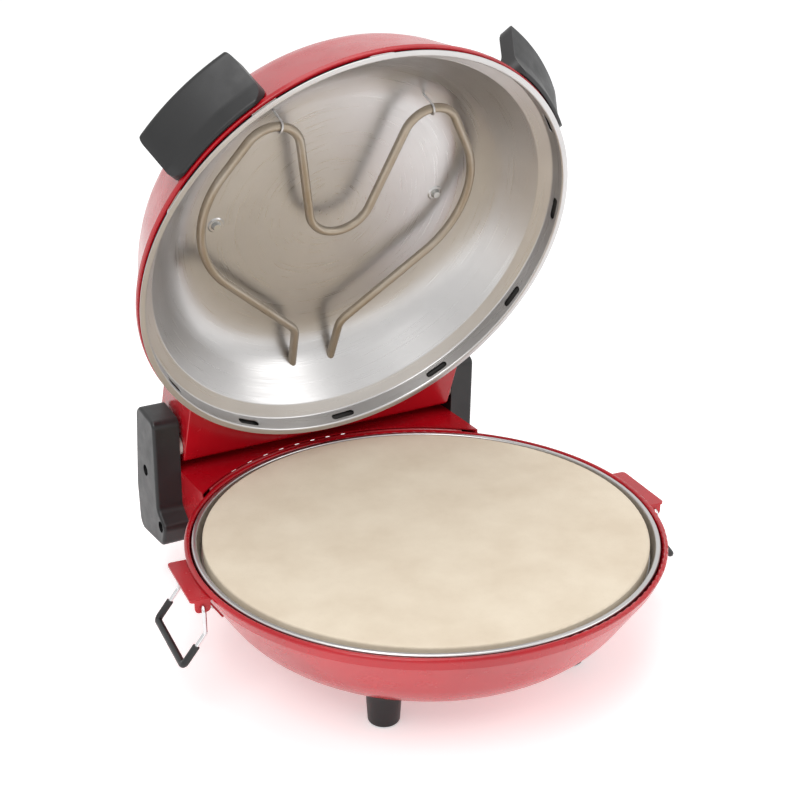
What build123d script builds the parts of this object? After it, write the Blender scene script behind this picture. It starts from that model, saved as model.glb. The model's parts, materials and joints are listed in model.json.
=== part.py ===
from build123d import *
from math import asin, atan2, cos, degrees, radians, sin, sqrt, tan
import os

# Electric pizza maker with a hinged dome lid, shown with the lid open.
# Millimetres, +Z up. It is drawn about the middle of the base's rim: X to the
# right, +Y to the hinge at the back, Z = 0 at the top of the rim. At the end
# everything moves so that the origin lies on the table, under the middle.

# ---- driving dimensions -------------------------------------------------
SHEET = 1.2  # painted steel sheet
BRIGHT_SHEET = 0.8  # stainless sheet
SLIDE_GAP = 0.3  # between faces that move past each other
PIN_FIT = 0.05  # radial play of a turning pin or wire

# base bowl, outer side
RIM_R = 170.0  # red rim
RIM_LIP = 4.8  # width of the folded rim
RIM_ROUND = 1.92
RIM_RETURN = 4.0  # how far the folded rim turns down inside
RIM_BAND = 9.0  # height of the band above the crease
RIM_BAND_TAPER = 3.5  # how much the band narrows downwards
BOWL_DEPTH = 70.0
BOWL_NARROWING = 43.0  # from the rim in to where flank and floor would meet
BOWL_CORNER_R = RIM_R - BOWL_NARROWING
BOWL_CREASE_TURN = 2.0
BOWL_TURN = 70.0  # radius from flank to floor

# stainless liner and stone
STONE_THICK = 12.0
STONE_PROUD = 1.0  # stone top above the rim
STONE_EDGE = 1.5
STONE_GAP = 1.5  # around the stone
BEAD_PLAY = 1.2  # between the bright bead and the folded rim
LINER_R = RIM_R - RIM_LIP - BEAD_PLAY
BEAD_WIDTH = 3.5
BEAD_SLOPE = 2.5  # how much the wall under the bead narrows
STONE_R = LINER_R - BEAD_WIDTH - BEAD_SLOPE - STONE_GAP
BEAD_DROP = 3.5
LEDGE_WIDTH = 8.0  # shelf that the stone lies on
FLOOR_ROOM = 26.0  # between the floors of bowl and liner
LINER_DEPTH = BOWL_DEPTH - FLOOR_ROOM
LINER_TAPER = 14.0  # how much the liner wall narrows downwards
LINER_TURN = 12.0
LEDGE_TURN = 1.2
BEAD_TURN = 1.4

# heating elements
TUBE_R = 3.25
LOWER_RING_R = 108.0
LOWER_RING_UP = 16.0  # element's middle over the liner's floor
LOWER_RING_Z = LOWER_RING_UP - LINER_DEPTH
LOWER_LEG_X = 16.0
LOWER_LEG_END = 147.0
LOWER_BEND = 14.0
UPPER_H = 45.0  # height of the upper element over the lid's edge plane
UPPER_TERMINAL = (16.0, 142.0)
UPPER_ELBOW = (19.0, 98.0)
UPPER_SHOULDER = (129.4, -1.4)
UPPER_TIP = (54.0, -122.0)
UPPER_NOTCH = (0.0, 79.4)
UPPER_BENDS = (14.0, 75.0, 22.0, 25.0)
HOLE_PLAY = 0.6  # around a tube where it passes a sheet
CLIP_WIDE = 8.0  # saddles under the lower element
CLIP_BAR = 1.5
CLIP_ANGLES = (-150, -90, -30)
HOOK_WIRE_R = 0.8  # wire hooks that hold the upper element
HOOK_RETURN = 5.0
HOOK_SEAT = 0.3  # between the end of a hook and the sheet
COLLAR_R = 5.0
COLLAR_LONG = 3.0

# feet and the posts inside
FOOT_SPREAD = 74.5  # foot centres from the middle, along X and Y
FOOT_TOP_R = 12.0
FOOT_TIP_R = 10.75
FOOT_BELOW = 20.0  # under the bowl's floor
FOOT_EDGE = 2.0
FOOT_RECESS_R = 5.5
FOOT_RECESS = 7.0
POST_R = 5.0
SCREW_R = 2.0
SCREW_HEAD_R = 3.75
SCREW_HEAD = 2.6

# carrying bails at the sides
BAIL_TURN = -5.6  # the pair stands turned by this angle
BRACKET_REACH = 10.0
BRACKET_R = RIM_R + BRACKET_REACH
BRACKET_HALF = 28.0
BRACKET_DROP = 3.0  # plate below the rim
BRACKET_SHEET = 1.5
BRACKET_CORNER = 3.0
EAR_DROP = 9.5
EAR_INSET = 3.5
EAR_START_R = RIM_R - EAR_INSET
FLANGE_HALF = 20.0
FLANGE_DROP = 22.0
RIVET_R = 3.0
RIVET_HEIGHT = 1.6
RIVET_OFFSET = 12.0
WIRE_R = 1.5
WIRE_BEND = 3.0
PIVOT_REACH = 2.0
PIVOT_R = RIM_R + PIVOT_REACH
PIVOT_DROP = 8.0
LEG_CLEAR = 0.3  # between the ear and the bend of the wire
LEG_STRAIGHT = 18.0
BAIL_REACH = 16.0  # cross-bar outside the pivot
BAIL_HANG = 39.0  # cross-bar below the pivot
TAIL = 4.0  # wire end inside the ear
SLEEVE_WALL = 1.0
SLEEVE_START = 0.4  # share of the slanted leg that stays bare

# lid dome, outer side
LID_INSET = 1.0
LID_R = RIM_R - LID_INSET
LID_DEPTH = 85.0
LID_NARROWING = 32.0
LID_CORNER_R = LID_R - LID_NARROWING
LID_HEM_TURN = 2.0
LID_TURN = 55.0
LID_HEM = 4.0
LID_SEAT = 0.5  # lid edge above the rim when shut

# reflector in the lid
RING_H = 2.4
RING_WIDE = 15.0
RING_INNER_R = LID_R - SHEET - BRIGHT_SHEET - RING_WIDE
STEP_H = 17.0
PLATE_H = 60.0
WALL_SPREAD = 30.0
PLATE_CORNER_R = RING_INNER_R - WALL_SPREAD
PLATE_TURN = 50.0
SLOT_COUNT = 12
SLOT_LONG = 17.0
SLOT_WIDE = 4.5
SLOT_R = RING_INNER_R + RING_WIDE / 2
SLOT_START = -3.0
PLATE_SCREW_X = 89.5
PLATE_SCREW_Y = -2.0
WASHER_R = 6.5
WASHER_THICK = 1.2
LID_POST_R = 4.5

# lid handles
HANDLE_ANGLE = 43.0  # from the X axis to each handle, towards the front
HANDLE_LONG = 80.0
HANDLE_FOOT = (171.0, 5.0)
HANDLE_HEEL = (173.5, 17.0)
HANDLE_OUTER_TIP = (187.0, 43.0)
HANDLE_INNER_TIP = (178.5, 47.5)
HANDLE_THROAT = (165.5, 21.0)
HANDLE_ROUND = 3.5
HANDLE_CORNER = 11.0

# hinge
HINGE_BEHIND = 1.0
HINGE_Y = RIM_R + HINGE_BEHIND
HINGE_Z = 21.0
OPEN_ANGLE = 68.5
BOX_HALF = 119.0
BLOCK_PLAY = 3.0  # between the cover's side and the arm
BLOCK_HALF = BOX_HALF - BLOCK_PLAY
BLOCK_REACH = 12.0
BLOCK_BACK = HINGE_Y + BLOCK_REACH
BLOCK_UNDER_H = 10.0
BLOCK_TOP_H = 60.5
BLOCK_ROUND = 7.0
PIN_R = 2.5
PIN_INSIDE = 8.0
PIN_IN_ARM = 15.0
PIN_HEAD_R = 5.0
PIN_HEAD = 2.0
BUSH_R = 5.5
BOX_REACH = 27.0
BOX_BACK = HINGE_Y + BOX_REACH
BOX_DEPTH = 54.0
DECK_Z = 2.0
BOX_ROUND = 6.0
STOP_WIDE = 8.0
VENT_COUNT = 9
VENT_PITCH = 14.0
VENT_WIDE = 4.0
VENT_LONG = 20.0
VENT_Z = -20.0
ARM_WIDE = 20.5
ARM_POINTS = (
    (162.0, 46.0), (197.0, 50.0), (207.0, -20.0), (205.0, -58.0),
    (157.0, -54.0), (150.0, -36.0), (164.0, -26.0),
)
ARM_RADII = (6.0, 9.0, 40.0, 10.0, 8.0, 5.0, 8.0)
ARM_EDGE = 2.5
ARM_SCREWS = ((184.6, -0.8), (158.5, -37.6))
ARM_RECESS_R = 4.5
ARM_RECESS = 12.0
GLAND_INSET = 39.0  # from the housing's side
GLAND_X = BOX_HALF - GLAND_INSET
GLAND_Z = -30.0
GLAND_R = 7.0
GLAND_BORE_R = 3.5
GLAND_FLANGE_R = 10.0
GLAND_FLANGE = 3.0
GLAND_INSIDE = 8.0
TERMINAL_SIZE = (60.0, 22.0, 18.0)
TERMINAL_BACK = 1.0
TERMINAL_Y = HINGE_Y + TERMINAL_BACK
TERMINAL_BORE_R = 2.5
TERMINAL_COUNT = 4

LEDGE_Z = STONE_PROUD - STONE_THICK
CUT_LENGTH = 400.0  # length of cutting bodies, beyond everything

nodes = {}


# ---- helpers ------------------------------------------------------------
def section(points, radii, thickness, side):
    """Face of a sheet whose one side follows the points."""
    line = FilletPolyline(*points, radius=radii)
    return make_face(offset(line, amount=thickness, side=side).edges())


def turned(face, angle=360.0):
    """Revolve a face drawn as (radius, height) about Z."""
    return revolve(Plane.XZ * face, axis=Axis.Z, revolution_arc=angle)


def filled(points, radii):
    """Solid of revolution under an outline that starts on the axis."""
    line = FilletPolyline(*points, radius=radii)
    top = points[-1]
    edges = line.edges() + Line(top, (0, top[1])).edges() + Line((0, top[1]), points[0]).edges()
    return turned(make_face(edges))


def rounded_outline(points, radii):
    """Closed face with a fillet of its own at each corner."""
    return make_face(FilletPolyline(*points, radius=radii, close=True).edges())


def cylinder_along(axis_plane, radius, length):
    """Cylinder from a plane's origin along its normal."""
    return extrude(axis_plane * Circle(radius), length)


def tube(points, radii, radius):
    """Round bar along straight runs joined by tangent arcs."""
    path = FilletPolyline(*points, radius=radii)
    start = Plane(origin=path @ 0, z_dir=path % 0)
    return sweep(start * Circle(radius), path=path.wire())


def side_profile(points, radii, half_width):
    """Face drawn as (y, z), extruded both ways along X."""
    return extrude(Plane.YZ * rounded_outline(points, radii), half_width, both=True)


def mirrored_pair(shape):
    return [shape, mirror(shape, Plane.YZ)]


def lid_place(shape):
    """From the lid's own frame, shut on the base, to its open place."""
    axis = Axis((0, HINGE_Y, HINGE_Z), (1, 0, 0))
    return shape.moved(Location((0, 0, LID_SEAT))).rotate(axis, -OPEN_ANGLE)


def add(name, *shapes):
    nodes[name] = list(shapes)


# ---- base ---------------------------------------------------------------
def bowl_outline():
    crease = (RIM_R - RIM_BAND_TAPER, -RIM_BAND)
    return [(0, -BOWL_DEPTH), (BOWL_CORNER_R, -BOWL_DEPTH), crease, (RIM_R, 0)]


def base_bowl():
    lip = RIM_R - RIM_LIP
    points = bowl_outline() + [(lip, 0), (lip, -RIM_RETURN)]
    radii = (BOWL_TURN, BOWL_CREASE_TURN, RIM_ROUND, RIM_ROUND)
    face = section(points, radii, SHEET, Side.LEFT)
    return turned(face)


def bowl_solid():
    return filled(bowl_outline(), (BOWL_TURN, BOWL_CREASE_TURN))


def liner_points():
    wall_top = LINER_R - BEAD_WIDTH
    stone_side = STONE_R + STONE_GAP
    ledge_in = stone_side - LEDGE_WIDTH
    return [
        (0, -LINER_DEPTH), (ledge_in - LINER_TAPER, -LINER_DEPTH), (ledge_in, LEDGE_Z),
        (stone_side, LEDGE_Z), (wall_top, 0), (LINER_R, 0), (LINER_R, -BEAD_DROP),
    ]


def base_liner():
    radii = (LINER_TURN, LEDGE_TURN, LEDGE_TURN, BEAD_TURN, BEAD_TURN)
    face = section(liner_points(), radii, BRIGHT_SHEET, Side.RIGHT)
    liner = turned(face)
    for x in (-LOWER_LEG_X, LOWER_LEG_X):
        plane = Plane(origin=(x, 0, LOWER_RING_Z), z_dir=(0, 1, 0))
        liner -= cylinder_along(plane, TUBE_R + HOLE_PLAY, LOWER_LEG_END)
    return liner


def pizza_stone():
    stone = extrude(Plane.XY.offset(LEDGE_Z) * Circle(STONE_R), STONE_THICK)
    return fillet(stone.edges(), STONE_EDGE)


def lower_path():
    """Ring with two legs that bend out to the back."""
    reach = LOWER_RING_R + LOWER_BEND
    bend_x = LOWER_LEG_X + LOWER_BEND
    bend_y = sqrt(reach**2 - bend_x**2)
    scale = LOWER_RING_R / reach
    joint = (bend_x * scale, bend_y * scale)
    half = atan2(bend_x, bend_y) / 2
    mid = (bend_x - LOWER_BEND * cos(half), bend_y - LOWER_BEND * sin(half))
    edges = [Line((LOWER_LEG_X, LOWER_LEG_END), (LOWER_LEG_X, bend_y))]
    edges.append(ThreePointArc((LOWER_LEG_X, bend_y), mid, joint))
    edges.append(ThreePointArc(joint, (0, -LOWER_RING_R), (-joint[0], joint[1])))
    edges.append(ThreePointArc((-joint[0], joint[1]), (-mid[0], mid[1]), (-LOWER_LEG_X, bend_y)))
    edges.append(Line((-LOWER_LEG_X, bend_y), (-LOWER_LEG_X, LOWER_LEG_END)))
    return Wire(edges).moved(Location((0, 0, LOWER_RING_Z)))


def lower_element():
    path = lower_path()
    return sweep(Plane(origin=path @ 0, z_dir=path % 0) * Circle(TUBE_R), path=path)


def collar(plane):
    """Ring pressed on a tube, where it leaves a sheet."""
    return cylinder_along(plane, COLLAR_R, COLLAR_LONG) - cylinder_along(plane, TUBE_R, COLLAR_LONG)


def liner_wall_y(x, z):
    """Back of the liner wall, on its outer side."""
    low, high = liner_points()[1:3]
    share = (z - low[1]) / (high[1] - low[1])
    radius = low[0] + share * (high[0] - low[0])
    return sqrt((radius + BRIGHT_SHEET) ** 2 - x**2)


def lower_collars():
    y = liner_wall_y(LOWER_LEG_X - COLLAR_R, LOWER_RING_Z + COLLAR_R)
    right = collar(Plane(origin=(LOWER_LEG_X, y, LOWER_RING_Z), z_dir=(0, 1, 0)))
    return mirrored_pair(right)


def lower_clips():
    """Saddles that hold the lower element over the liner's floor."""
    wide = CLIP_WIDE
    bar = CLIP_BAR
    element = lower_element()
    clips = []
    for angle in CLIP_ANGLES:
        height = LOWER_RING_Z + LINER_DEPTH
        outer = Pos(0, 0, height) * Cylinder(TUBE_R + bar, wide, rotation=(90, 0, 0))
        foot = Pos(0, 0, height / 2) * Box(2 * (TUBE_R + bar), wide, height)
        slot = Pos(0, 0, height / 2) * Box(2 * TUBE_R, wide, height - 2 * bar)
        clip = outer + foot - slot
        place = Rot(0, 0, angle) * Pos(LOWER_RING_R, 0, -LINER_DEPTH)
        clips.append(place * clip - element)
    return clips


def foot_places():
    return [(x, y) for y in (-FOOT_SPREAD, FOOT_SPREAD) for x in (-FOOT_SPREAD, FOOT_SPREAD)]


def foot(x, y):
    tip_z = -BOWL_DEPTH - FOOT_BELOW
    top_z = -BOWL_DEPTH + FOOT_BELOW
    slope = (FOOT_TOP_R - FOOT_TIP_R) / FOOT_BELOW
    body = Pos(x, y, (tip_z + top_z) / 2) * Cone(
        FOOT_TIP_R, FOOT_TOP_R + slope * FOOT_BELOW, top_z - tip_z
    )
    body = fillet(body.edges().sort_by(Axis.Z)[:1], FOOT_EDGE)
    body -= bowl_solid()
    body -= Pos(x, y, tip_z + FOOT_RECESS / 2) * Cylinder(FOOT_RECESS_R, FOOT_RECESS)
    return body - foot_screw(x, y)


def foot_screw(x, y):
    head_z = -BOWL_DEPTH - FOOT_BELOW + FOOT_RECESS
    top_z = -LINER_DEPTH - BRIGHT_SHEET - POST_R
    head = Pos(x, y, head_z - SCREW_HEAD / 2) * Cylinder(SCREW_HEAD_R, SCREW_HEAD)
    shank = Pos(x, y, (head_z + top_z) / 2) * Cylinder(SCREW_R, top_z - head_z)
    return head + shank


def base_post(x, y):
    """Spacer between the bowl's floor and the liner's floor."""
    top_z = -LINER_DEPTH - BRIGHT_SHEET
    low_z = -BOWL_DEPTH
    post = Pos(x, y, (top_z + low_z) / 2) * Cylinder(POST_R, top_z - low_z)
    return (post & bowl_solid()) - base_bowl() - foot_screw(x, y)


# ---- carrying bails -----------------------------------------------------
def flank_r(z):
    """Outer radius of the bowl's straight flank at a height."""
    low = bowl_outline()[1]
    high = bowl_outline()[2]
    return low[0] + (z - low[1]) * (high[0] - low[0]) / (high[1] - low[1])


def bracket():
    """Pressed bracket with a down-turned flange and two ears, on +X."""
    top_z = -BRACKET_DROP
    plate = Pos((EAR_START_R + BRACKET_R) / 2 - BRACKET_CORNER, 0, top_z - BRACKET_SHEET / 2) * Box(
        BRACKET_R - EAR_START_R + 2 * BRACKET_CORNER, 2 * BRACKET_HALF, BRACKET_SHEET
    )
    plate = fillet(plate.edges().filter_by(Axis.Z).group_by(Axis.X)[-1], BRACKET_CORNER)
    ear_long = BRACKET_R - BRACKET_CORNER - EAR_START_R
    body = plate
    for side in (-1, 1):
        ear = Pos(
            EAR_START_R + ear_long / 2, side * (BRACKET_HALF - BRACKET_SHEET / 2), top_z - EAR_DROP / 2
        ) * Box(ear_long, BRACKET_SHEET, EAR_DROP)
        ear = fillet(ear.edges().filter_by(Axis.Y).group_by(Axis.Z)[0], BRACKET_CORNER)
        body += ear
    z_low = top_z - FLANGE_DROP
    flange = make_face(
        Polyline(
            (flank_r(z_low) - SHEET, z_low), (flank_r(z_low) + BRACKET_SHEET, z_low),
            (flank_r(top_z) + BRACKET_SHEET, top_z), (flank_r(top_z) - SHEET, top_z), close=True,
        ).edges()
    )
    reach = degrees(asin(FLANGE_HALF / RIM_R))
    flange = turned(flange, 2 * reach).rotate(Axis.Z, -reach)
    body = body + flange - bowl_solid()
    plane = Plane(origin=(PIVOT_R, -RIM_R, -PIVOT_DROP), z_dir=(0, 1, 0))
    return body - cylinder_along(plane, WIRE_R + PIN_FIT, 2 * RIM_R)


def rivets():
    """Domed rivet heads on the bracket's flange, on +X."""
    z = -BRACKET_DROP - FLANGE_DROP * 0.7
    made = []
    for side in (-1, 1):
        angle = side * degrees(asin(RIVET_OFFSET / flank_r(z)))
        slope = degrees(atan2(flank_r(0) - flank_r(-1), 1))
        place = Rot(0, 0, angle) * Pos(flank_r(z) + BRACKET_SHEET, 0, z) * Rot(0, 90 + slope, 0)
        dome_r = (RIVET_R**2 + RIVET_HEIGHT**2) / (2 * RIVET_HEIGHT)
        dome = Pos(0, 0, RIVET_HEIGHT - dome_r) * Sphere(dome_r)
        head = dome & Pos(0, 0, RIVET_HEIGHT / 2) * Cylinder(RIVET_R, RIVET_HEIGHT)
        made.append(place * head)
    return made


def bail_points():
    """One side's half of the wire, from its inner end to the cross-bar."""
    leg_y = BRACKET_HALF + LEG_CLEAR + WIRE_BEND
    tail_y = BRACKET_HALF - BRACKET_SHEET - TAIL
    return [
        (PIVOT_R, tail_y, -PIVOT_DROP), (PIVOT_R, leg_y, -PIVOT_DROP),
        (PIVOT_R, leg_y, -PIVOT_DROP - LEG_STRAIGHT),
        (PIVOT_R + BAIL_REACH, leg_y, -PIVOT_DROP - BAIL_HANG),
    ]


def flip_y(points):
    return [(x, -y, z) for x, y, z in reversed(points)]


def bail_wire():
    points = bail_points() + flip_y(bail_points())
    return tube(points, WIRE_BEND, WIRE_R)


def bail_sleeve():
    knee, corner = bail_points()[2:4]
    start = [a + SLEEVE_START * (b - a) for a, b in zip(knee, corner)]
    points = [tuple(start), corner] + flip_y([tuple(start), corner])
    outer = tube(points, WIRE_BEND, WIRE_R + SLEEVE_WALL)
    return outer - tube(points, WIRE_BEND, WIRE_R)


# ---- lid ----------------------------------------------------------------
def lid_outline():
    return [(0, LID_DEPTH), (LID_CORNER_R, LID_DEPTH), (LID_R, LID_HEM), (LID_R, 0)]


def lid_shell():
    return turned(section(lid_outline(), (LID_TURN, LID_HEM_TURN), SHEET, Side.RIGHT))


def lid_solid():
    return filled(lid_outline(), (LID_TURN, LID_HEM_TURN))


def reflector_points():
    lip = LID_R - SHEET - BRIGHT_SHEET
    return [
        (0, PLATE_H), (PLATE_CORNER_R, PLATE_H), (RING_INNER_R, STEP_H),
        (RING_INNER_R, RING_H), (lip, RING_H), (lip, 0),
    ]


def lid_reflector():
    face = section(reflector_points(), (PLATE_TURN, 2.0, 1.5, 1.0), BRIGHT_SHEET, Side.LEFT)
    body = turned(face)
    for i in range(SLOT_COUNT):
        angle = SLOT_START + i * 360 / SLOT_COUNT
        slot = Rot(0, 0, angle) * Pos(SLOT_R, 0, 0) * extrude(
            SlotOverall(SLOT_LONG, SLOT_WIDE, rotation=90), STEP_H / 2
        )
        body -= slot
    hole = cylinder_along(terminal_plane(UPPER_ELBOW[1]), TUBE_R + HOLE_PLAY, RING_INNER_R - UPPER_ELBOW[1])
    for cut in mirrored_pair(hole):
        body -= cut
    return body


def terminal_plane(y):
    """Plane across the right end of the upper element, at a depth y."""
    run = (UPPER_TERMINAL[0] - UPPER_ELBOW[0]) / (UPPER_TERMINAL[1] - UPPER_ELBOW[1])
    x = UPPER_ELBOW[0] + run * (y - UPPER_ELBOW[1])
    return Plane(origin=(x, y, UPPER_H), z_dir=(run, 1, 0))


def upper_points():
    half = [UPPER_TERMINAL, UPPER_ELBOW, UPPER_SHOULDER, UPPER_TIP, UPPER_NOTCH]
    other = [(-x, y) for x, y in reversed(half[:-1])]
    return [(x, y, UPPER_H) for x, y in half + other]


def upper_radii():
    return UPPER_BENDS + tuple(reversed(UPPER_BENDS[:-1]))


def upper_element():
    return tube(upper_points(), upper_radii(), TUBE_R)


def upper_collars():
    """Rings behind the reflector's wall."""
    share = (UPPER_H - COLLAR_R - STEP_H) / (PLATE_H - STEP_H)
    wall_r = RING_INNER_R - share * (RING_INNER_R - PLATE_CORNER_R) + 2 * BRIGHT_SHEET
    return mirrored_pair(collar(terminal_plane(wall_r)))


def reflector_height(radius):
    """Height of the reflector's bright side where the plate rounds into the wall."""
    turn = atan2(PLATE_H - STEP_H, RING_INNER_R - PLATE_CORNER_R)
    centre_r = PLATE_CORNER_R - PLATE_TURN * tan(turn / 2)
    return PLATE_H - PLATE_TURN + sqrt(PLATE_TURN**2 - max(radius - centre_r, 0) ** 2)


def element_hook():
    """Wire hook from the plate round the tip of the element's loop, on +X."""
    line = FilletPolyline(*upper_points(), radius=upper_radii())
    arcs = line.edges().filter_by(GeomType.CIRCLE).filter_by(lambda edge: edge.center().X > 0)
    tip = arcs.sort_by(Axis.Y)[0]
    middle, along = tip @ 0.5, tip % 0.5
    across = along.cross(Vector(0, 0, 1)).normalized() * (TUBE_R + HOOK_WIRE_R)
    down = Vector(0, 0, -TUBE_R - HOOK_WIRE_R)
    near, far = middle - across, middle + across
    height = reflector_height(sqrt(near.X**2 + near.Y**2))
    top = Vector(near.X, near.Y, height - HOOK_SEAT)
    path = Wire([
        Line(top, near).edge(),
        ThreePointArc(near, middle + down, far).edge(),
        Line(far, far + Vector(0, 0, HOOK_RETURN)).edge(),
    ])
    return sweep(Plane(origin=path @ 0, z_dir=path % 0) * Circle(HOOK_WIRE_R), path=path)


def plate_places():
    return [(-PLATE_SCREW_X, PLATE_SCREW_Y), (PLATE_SCREW_X, PLATE_SCREW_Y)]


def plate_washer(x, y):
    z = PLATE_H - WASHER_THICK
    washer = Pos(x, y, z + WASHER_THICK / 2) * Cone(WASHER_R - WASHER_THICK, WASHER_R, WASHER_THICK)
    return washer - plate_screw(x, y)


def plate_screw(x, y):
    head_z = PLATE_H - WASHER_THICK
    head = Pos(x, y, head_z - SCREW_HEAD / 2) * Cone(SCREW_HEAD_R * 0.7, SCREW_HEAD_R, SCREW_HEAD)
    shank_top = PLATE_H + BRIGHT_SHEET + LID_POST_R
    shank = Pos(x, y, (head_z + shank_top) / 2) * Cylinder(SCREW_R, shank_top - head_z)
    return head + shank


def lid_post(x, y):
    low = PLATE_H + BRIGHT_SHEET
    high = LID_DEPTH - SHEET
    post = Pos(x, y, (low + high) / 2) * Cylinder(LID_POST_R, high - low)
    return post - plate_screw(x, y)


def lid_handle():
    """Flared grip on +X, with a finger gap between it and the dome."""
    shell_r = LID_R - LID_HEM * 3
    points = [
        (shell_r - HANDLE_ROUND, HANDLE_FOOT[1]), HANDLE_FOOT, HANDLE_HEEL, HANDLE_OUTER_TIP,
        HANDLE_INNER_TIP, HANDLE_THROAT, (shell_r - HANDLE_ROUND, HANDLE_HEEL[1]),
    ]
    radii = (0, 2.0, HANDLE_CORNER, HANDLE_ROUND, HANDLE_ROUND, HANDLE_CORNER, 0)
    reach = degrees(asin(HANDLE_LONG / 2 / HANDLE_FOOT[0])) * 1.2
    body = turned(rounded_outline(points, radii), 2 * reach).rotate(Axis.Z, -reach)
    low = HANDLE_FOOT[1]
    high = HANDLE_INNER_TIP[1]
    frame = Plane(origin=(0, 0, (low + high) / 2), x_dir=(0, 1, 0), z_dir=(1, 0, 0))
    outline = RectangleRounded(HANDLE_LONG, high - low, HANDLE_CORNER)
    body &= extrude(frame * outline, CUT_LENGTH)
    return body - lid_solid()


# ---- hinge --------------------------------------------------------------
def pin_plane(x):
    return Plane(origin=(x, HINGE_Y, HINGE_Z - LID_SEAT), z_dir=(1, 0, 0))


def lid_block():
    """Folded cover between dome and hinge, open towards the dome."""
    front = RING_INNER_R / 2
    low, high, back = BLOCK_UNDER_H, BLOCK_TOP_H, BLOCK_BACK
    outer = side_profile(
        ((front, low), (back, low), (back, high), (front, high)), (0, BLOCK_ROUND, BLOCK_ROUND, 0), BLOCK_HALF
    )
    inner_round = BLOCK_ROUND - SHEET
    inner = side_profile(
        ((front, low + SHEET), (back - SHEET, low + SHEET), (back - SHEET, high - SHEET), (front, high - SHEET)),
        (0, inner_round, inner_round, 0), BLOCK_HALF - SHEET,
    )
    outer = fillet(outer.faces().sort_by(Axis.Y)[-1].edges().filter_by(Axis.Z), 1.0)
    body = outer - inner - lid_solid()
    for pin in mirrored_pair(hinge_pin()):
        body -= pin
    return body


def hinge_pin():
    """Headed pin from inside the cover through the bush in the arm, on +X."""
    inside = BLOCK_HALF - SHEET
    shaft = cylinder_along(pin_plane(inside - PIN_HEAD), PIN_R, PIN_HEAD + BOX_HALF - inside + PIN_IN_ARM)
    head = cylinder_along(pin_plane(inside - PIN_HEAD), PIN_HEAD_R, PIN_HEAD)
    return head + shaft


def hinge_bush():
    """Bearing sleeve in the arm, with a collar towards the cover, on +X."""
    plane = Plane(origin=(BLOCK_HALF + SLIDE_GAP, HINGE_Y, HINGE_Z), z_dir=(1, 0, 0))
    collar_long = BOX_HALF - BLOCK_HALF - SLIDE_GAP
    body = cylinder_along(plane, BUSH_R + PIN_HEAD, collar_long)
    body += cylinder_along(plane, BUSH_R, collar_long + PIN_IN_ARM)
    return body - cylinder_along(plane, PIN_R + PIN_FIT, collar_long + PIN_IN_ARM)


def stop_height(y):
    """Height at which the open lid's cover meets the box at a depth y."""
    turn = radians(OPEN_ANGLE)
    reach = BLOCK_BACK - HINGE_Y
    return HINGE_Z + ((y - HINGE_Y) * cos(turn) - reach - SLIDE_GAP) / sin(turn)


def hinge_box():
    """Housing behind the bowl; its raised back edge stops the open lid."""
    front = RIM_R / 2
    step = BOX_BACK - STOP_WIDE

    def profile(inset, half):
        low = -BOX_DEPTH + inset
        top = DECK_Z - inset
        near, far = step + inset, BOX_BACK - inset
        points = (
            (front, low), (far, low), (far, stop_height(BOX_BACK) - inset),
            (near, stop_height(step) - inset), (near, top), (front, top),
        )
        return side_profile(points, (0, BOX_ROUND - inset, 1.0, 1.0, 0, 0), half)

    body = profile(0, BOX_HALF) - profile(SHEET, BOX_HALF - SHEET)
    body -= bowl_solid()
    body -= extrude(Plane.XY * Circle(RIM_R), CUT_LENGTH)
    for i in range(VENT_COUNT):
        x = (i - (VENT_COUNT - 1) / 2) * VENT_PITCH - GLAND_X / 4
        frame = Plane(origin=(x, BOX_BACK - STOP_WIDE, VENT_Z), x_dir=(0, 0, 1), z_dir=(0, 1, 0))
        body -= extrude(frame * SlotOverall(VENT_LONG, VENT_WIDE), 2 * STOP_WIDE)
    body -= cylinder_along(gland_plane(BOX_BACK - STOP_WIDE), GLAND_R, 2 * STOP_WIDE)
    for screw in arm_screws():
        body -= screw
    return body


def gland_plane(y):
    return Plane(origin=(GLAND_X, y, GLAND_Z), z_dir=(0, 1, 0))


def inlet_gland():
    """Flanged bush for the supply in the back wall."""
    body = cylinder_along(gland_plane(BOX_BACK - GLAND_INSIDE), GLAND_R, GLAND_INSIDE)
    flange = cylinder_along(gland_plane(BOX_BACK), GLAND_FLANGE_R, GLAND_FLANGE)
    body += fillet(flange.edges().sort_by(Axis.Y)[-1], 1.0)
    bore = cylinder_along(gland_plane(BOX_BACK - GLAND_INSIDE), GLAND_BORE_R, GLAND_INSIDE + GLAND_FLANGE)
    return body - bore


def terminal_block():
    """Ceramic connector on the floor of the housing."""
    long, deep, high = TERMINAL_SIZE
    body = Pos(0, TERMINAL_Y, -BOX_DEPTH + SHEET + high / 2) * Box(long, deep, high)
    body = fillet(body.edges().filter_by(Axis.Z), 2.0)
    for i in range(TERMINAL_COUNT):
        x = (i - (TERMINAL_COUNT - 1) / 2) * long / TERMINAL_COUNT
        body -= Pos(x, TERMINAL_Y, -BOX_DEPTH + SHEET + high / 2) * Cylinder(
            TERMINAL_BORE_R, deep, rotation=(90, 0, 0)
        )
    return body


def hinge_arm():
    """Upright arm on +X that carries the lid's pin."""
    face = Plane.YZ * rounded_outline(ARM_POINTS, ARM_RADII)
    arm = extrude(face.moved(Location((BOX_HALF, 0, 0))), ARM_WIDE)
    arm = fillet(arm.faces().sort_by(Axis.X)[-1].edges(), ARM_EDGE)
    for y, z in ARM_SCREWS:
        plane = Plane(origin=(BOX_HALF + ARM_WIDE - ARM_RECESS, y, z), z_dir=(1, 0, 0))
        arm -= cylinder_along(plane, ARM_RECESS_R, ARM_RECESS)
    for screw in arm_screws():
        arm -= screw
    plane = Plane(origin=(BOX_HALF, HINGE_Y, HINGE_Z), z_dir=(1, 0, 0))
    return arm - cylinder_along(plane, BUSH_R, PIN_IN_ARM)


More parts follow.
